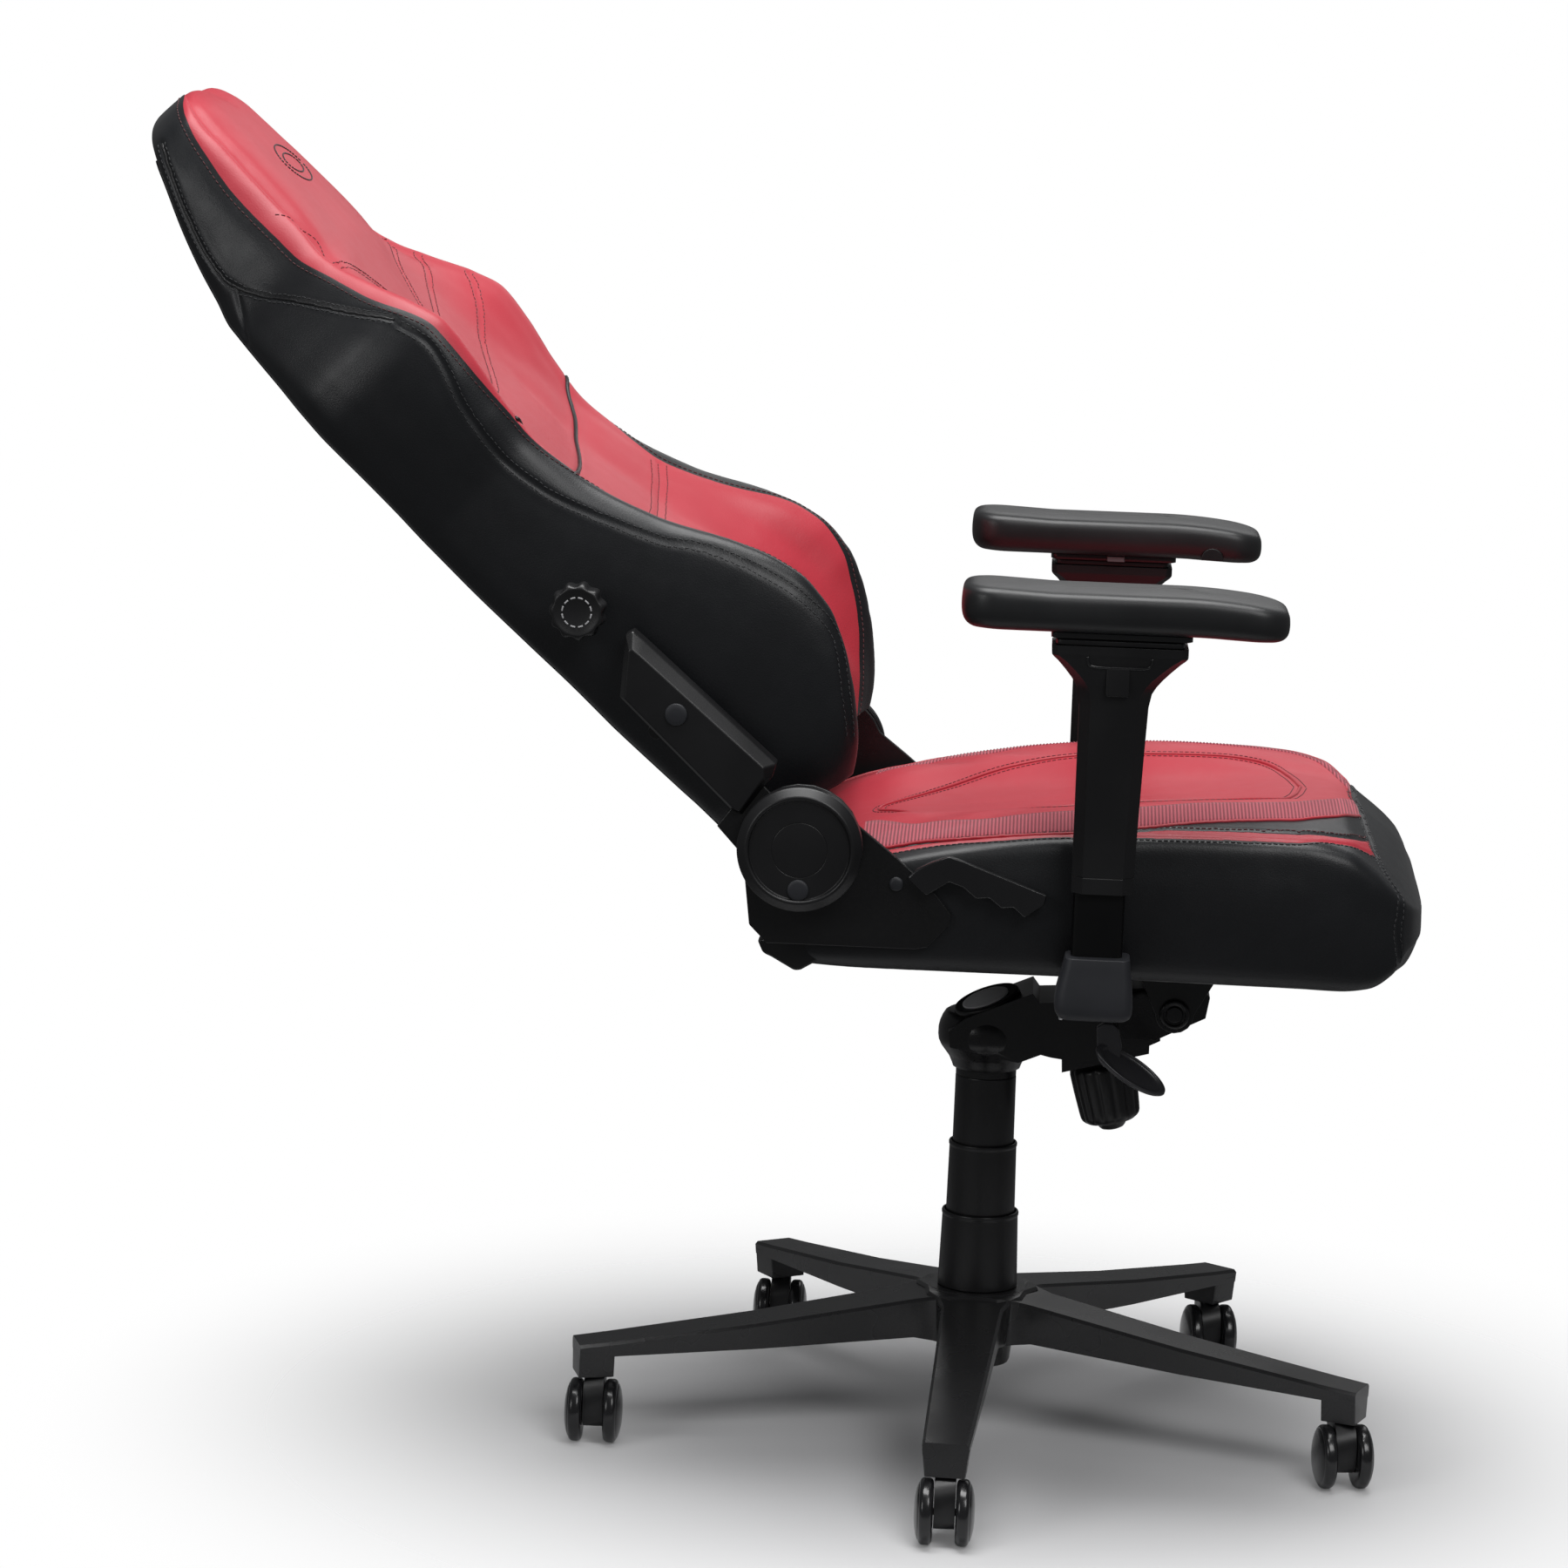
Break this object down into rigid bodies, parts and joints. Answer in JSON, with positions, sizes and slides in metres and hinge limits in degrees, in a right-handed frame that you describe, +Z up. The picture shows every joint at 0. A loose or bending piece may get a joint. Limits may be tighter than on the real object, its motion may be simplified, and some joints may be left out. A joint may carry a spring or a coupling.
{
  "type": "gaming chair",
  "caption": "Reclining gaming chair with winged red and black padded back and seat, adjustable armrests, tilt mechanism, gas column and castered star base.",
  "frame": {"origin": "on the floor, under the axis of the gas column", "axes": "+Z up, the sitter faces -Y, +X is the sitter's left"},
  "size_m": [0.7172, 1.0952, 1.1544],
  "materials": {
    "base_aluminium": "satin black powder coat",
    "caster_plastic": "satin black nylon",
    "wheel_plastic": "glossy black polyurethane tread and cap",
    "painted_steel": "satin black paint",
    "bare_steel": "ground steel",
    "black_plastic": "fine-grained black plastic",
    "bracket_plastic": "satin black cover over the steel bracket",
    "grey_plastic": "grey plastic",
    "arm_foam": "soft black polyurethane skin",
    "seat_board": "moulded plywood stained black",
    "red_upholstery": "red polyurethane-coated upholstery over foam, black side panels",
    "black_upholstery": "black polyurethane-coated upholstery over foam"
  },
  "bodies": {
    "base": {"star_base": "base_aluminium", "column_tube": "painted_steel", "cover_lower": "black_plastic"},
    "spindle": {"piston_rod": "bare_steel"},
    "middle_cover": {"cover_middle": "black_plastic"},
    "mechanism": {"gas_cylinder": "painted_steel", "cover_upper": "black_plastic", "mechanism_housing": "base_aluminium", "tilt_axle": "bare_steel"},
    "tension_knob": {"tension_knob": "black_plastic"},
    "height_lever": {"height_lever": "black_plastic"},
    "tilt_lever": {"tilt_lever": "black_plastic"},
    "seat": {"seat_plate": "painted_steel", "seat_pan": "seat_board", "seat_cushion": "red_upholstery", "recline_shaft": "bare_steel", "seat_bracket_right": "painted_steel", "seat_bracket_left": "painted_steel", "recliner_right": "bare_steel", "recliner_left": "bare_steel", "hinge_cover_right": "black_plastic", "hinge_cover_left": "black_plastic", "arm_bracket_right": "painted_steel", "arm_bracket_left": "painted_steel", "arm_boot_right": "black_plastic", "arm_boot_left": "black_plastic"},
    "recline_lever": {"recline_lever": "black_plastic"},
    "backrest": {"back_lower_cushion": "red_upholstery", "back_upper_cushion": "red_upholstery", "head_cushion": "black_upholstery", "back_frame": "painted_steel", "rear_panel": "black_upholstery", "back_bracket_right": "bracket_plastic", "back_bracket_left": "bracket_plastic"},
    "lumbar_knob": {"lumbar_knob": "black_plastic"},
    "lumbar_support": {"lumbar_plate": "black_plastic"},
    "caster_1": {"caster_fork_1": "caster_plastic"},
    "wheels_1": {"caster_wheels_1": "wheel_plastic"},
    "caster_2": {"caster_fork_2": "caster_plastic"},
    "wheels_2": {"caster_wheels_2": "wheel_plastic"},
    "caster_3": {"caster_fork_3": "caster_plastic"},
    "wheels_3": {"caster_wheels_3": "wheel_plastic"},
    "caster_4": {"caster_fork_4": "caster_plastic"},
    "wheels_4": {"caster_wheels_4": "wheel_plastic"},
    "caster_5": {"caster_fork_5": "caster_plastic"},
    "wheels_5": {"caster_wheels_5": "wheel_plastic"},
    "arm_right": {"arm_sleeve_right": "black_plastic"},
    "arm_height_button_right": {"arm_height_button_right": "black_plastic"},
    "arm_turntable_right": {"arm_pivot_plate_right": "black_plastic"},
    "arm_slide_right": {"arm_slide_plate_right": "black_plastic"},
    "arm_slide_button_right": {"arm_slide_button_right": "grey_plastic"},
    "arm_pad_right": {"arm_pad_right": "arm_foam"},
    "arm_pad_button_right": {"arm_pad_button_right": "black_plastic"},
    "arm_left": {"arm_sleeve_left": "black_plastic"},
    "arm_height_button_left": {"arm_height_button_left": "black_plastic"},
    "arm_turntable_left": {"arm_pivot_plate_left": "black_plastic"},
    "arm_slide_left": {"arm_slide_plate_left": "black_plastic"},
    "arm_slide_button_left": {"arm_slide_button_left": "grey_plastic"},
    "arm_pad_left": {"arm_pad_left": "arm_foam"},
    "arm_pad_button_left": {"arm_pad_button_left": "black_plastic"}
  },
  "joints": [
    {"name": "caster_swivel_1", "type": "hinge", "parent": "base", "child": "caster_1", "pos_m": [0.28515, 0.18518, 0.057], "axis": [0, 0, 1], "continuous": true},
    {"name": "wheel_spin_1", "type": "hinge", "parent": "caster_1", "child": "wheels_1", "pos_m": [0.27115, 0.18518, 0.02765], "axis": [0, 1, 0], "continuous": true},
    {"name": "caster_swivel_2", "type": "hinge", "parent": "base", "child": "caster_2", "pos_m": [-0.088, 0.32842, 0.057], "axis": [0, 0, 1], "continuous": true},
    {"name": "wheel_spin_2", "type": "hinge", "parent": "caster_2", "child": "wheels_2", "pos_m": [-0.102, 0.32842, 0.02765], "axis": [0, 1, 0], "continuous": true},
    {"name": "caster_swivel_3", "type": "hinge", "parent": "base", "child": "caster_3", "pos_m": [-0.33953, 0.01779, 0.057], "axis": [0, 0, 1], "continuous": true},
    {"name": "wheel_spin_3", "type": "hinge", "parent": "caster_3", "child": "wheels_3", "pos_m": [-0.35353, 0.01779, 0.02765], "axis": [0, 1, 0], "continuous": true},
    {"name": "caster_swivel_4", "type": "hinge", "parent": "base", "child": "caster_4", "pos_m": [-0.12184, -0.31742, 0.057], "axis": [0, 0, 1], "continuous": true},
    {"name": "wheel_spin_4", "type": "hinge", "parent": "caster_4", "child": "wheels_4", "pos_m": [-0.13563, -0.31985, 0.02765], "axis": [-0.1736, 0.9848, 0], "continuous": true},
    {"name": "caster_swivel_5", "type": "hinge", "parent": "base", "child": "caster_5", "pos_m": [0.26423, -0.21397, 0.057], "axis": [0, 0, 1], "continuous": true},
    {"name": "wheel_spin_5", "type": "hinge", "parent": "caster_5", "child": "wheels_5", "pos_m": [0.25044, -0.2164, 0.02765], "axis": [-0.1736, 0.9848, 0], "continuous": true},
    {"name": "seat_swivel", "type": "hinge", "parent": "base", "child": "spindle", "pos_m": [0, 0, 0.065], "axis": [0, 0, 1], "continuous": true},
    {"name": "gas_lift", "type": "slide", "parent": "spindle", "child": "mechanism", "axis": [0, 0, 1], "range_m": [-0.08, 0]},
    {"name": "middle_cover_slide", "type": "slide", "parent": "base", "child": "middle_cover", "axis": [0, 0, 1], "range_m": [-0.04, 0]},
    {"name": "seat_tilt", "type": "hinge", "parent": "mechanism", "child": "seat", "pos_m": [0, -0.16, 0.396], "axis": [-1, 0, 0], "range_deg": [0, 14], "stiffness_Nm_per_rad": 150, "springref_deg": -40.11},
    {"name": "tension_knob_turn", "type": "hinge", "parent": "mechanism", "child": "tension_knob", "pos_m": [0, -0.101, 0.334], "axis": [0, -0.2079, -0.9781], "continuous": true},
    {"name": "height_lever_lift", "type": "hinge", "parent": "mechanism", "child": "height_lever", "pos_m": [-0.16, -0.102, 0.388], "axis": [-1, 0, 0], "range_deg": [0, 12], "stiffness_Nm_per_rad": 0.6, "springref_deg": -17.19},
    {"name": "tilt_lever_turn", "type": "hinge", "parent": "mechanism", "child": "tilt_lever", "pos_m": [0.16, -0.102, 0.388], "axis": [-1, 0, 0], "range_deg": [-15, 0]},
    {"name": "recline", "type": "hinge", "parent": "seat", "child": "backrest", "pos_m": [0, 0.1584, 0.5626], "axis": [-1, 0, 0], "range_deg": [-31, 28]},
    {"name": "recline_lever_lift", "type": "hinge", "parent": "seat", "child": "recline_lever", "pos_m": [-0.275, 0.062, 0.54], "axis": [-1, 0, 0], "range_deg": [0, 28], "stiffness_Nm_per_rad": 0.8, "springref_deg": -17.19},
    {"name": "lumbar_knob_turn", "type": "hinge", "parent": "backrest", "child": "lumbar_knob", "pos_m": [-0.275, 0.34698, 0.74887], "axis": [-1, 0, 0], "range_deg": [0, 540]},
    {"name": "lumbar_push", "type": "slide", "parent": "backrest", "child": "lumbar_support", "axis": [0, -0.6865, 0.7272], "range_m": [0, 0.0089]},
    {"name": "arm_height_right", "type": "slide", "parent": "seat", "child": "arm_right", "axis": [0, 0, 1], "range_m": [-0.05, 0.03]},
    {"name": "arm_height_press_right", "type": "slide", "parent": "arm_right", "child": "arm_height_button_right", "axis": [1, 0, 0], "range_m": [0, 0.002], "stiffness_N_per_m": 200, "springref_m": -0.003},
    {"name": "arm_turn_right", "type": "hinge", "parent": "arm_right", "child": "arm_turntable_right", "pos_m": [-0.29, -0.095, 0.745], "axis": [0, 0, 1], "range_deg": [-15, 15]},
    {"name": "arm_forward_right", "type": "slide", "parent": "arm_turntable_right", "child": "arm_slide_right", "axis": [0, -1, 0], "range_m": [0, 0.035]},
    {"name": "arm_slide_press_right", "type": "slide", "parent": "arm_slide_right", "child": "arm_slide_button_right", "axis": [-1, 0, 0], "range_m": [0, 0.0018], "stiffness_N_per_m": 150, "springref_m": -0.003},
    {"name": "arm_inward_right", "type": "slide", "parent": "arm_slide_right", "child": "arm_pad_right", "axis": [1, 0, 0], "range_m": [-0.012, 0.012]},
    {"name": "arm_pad_press_right", "type": "slide", "parent": "arm_pad_right", "child": "arm_pad_button_right", "axis": [-1, 0, 0], "range_m": [0, 0.0025], "stiffness_N_per_m": 150, "springref_m": -0.003},
    {"name": "arm_height_left", "type": "slide", "parent": "seat", "child": "arm_left", "axis": [0, 0, 1], "range_m": [-0.05, 0.03]},
    {"name": "arm_height_press_left", "type": "slide", "parent": "arm_left", "child": "arm_height_button_left", "axis": [-1, 0, 0], "range_m": [0, 0.002], "stiffness_N_per_m": 200, "springref_m": -0.003},
    {"name": "arm_turn_left", "type": "hinge", "parent": "arm_left", "child": "arm_turntable_left", "pos_m": [0.29, -0.095, 0.745], "axis": [0, 0, 1], "range_deg": [-15, 15]},
    {"name": "arm_forward_left", "type": "slide", "parent": "arm_turntable_left", "child": "arm_slide_left", "axis": [0, -1, 0], "range_m": [0, 0.035]},
    {"name": "arm_slide_press_left", "type": "slide", "parent": "arm_slide_left", "child": "arm_slide_button_left", "axis": [1, 0, 0], "range_m": [0, 0.0018], "stiffness_N_per_m": 150, "springref_m": -0.003},
    {"name": "arm_inward_left", "type": "slide", "parent": "arm_slide_left", "child": "arm_pad_left", "axis": [-1, 0, 0], "range_m": [-0.012, 0.012]},
    {"name": "arm_pad_press_left", "type": "slide", "parent": "arm_pad_left", "child": "arm_pad_button_left", "axis": [1, 0, 0], "range_m": [0, 0.0025], "stiffness_N_per_m": 150, "springref_m": -0.003}
  ],
  "couplings": [
    {"joint": "middle_cover_slide", "follows": "gas_lift", "ratio": 0.5},
    {"joint": "lumbar_knob_turn", "follows": "lumbar_push", "rad_per_m": 1052.6}
  ]
}
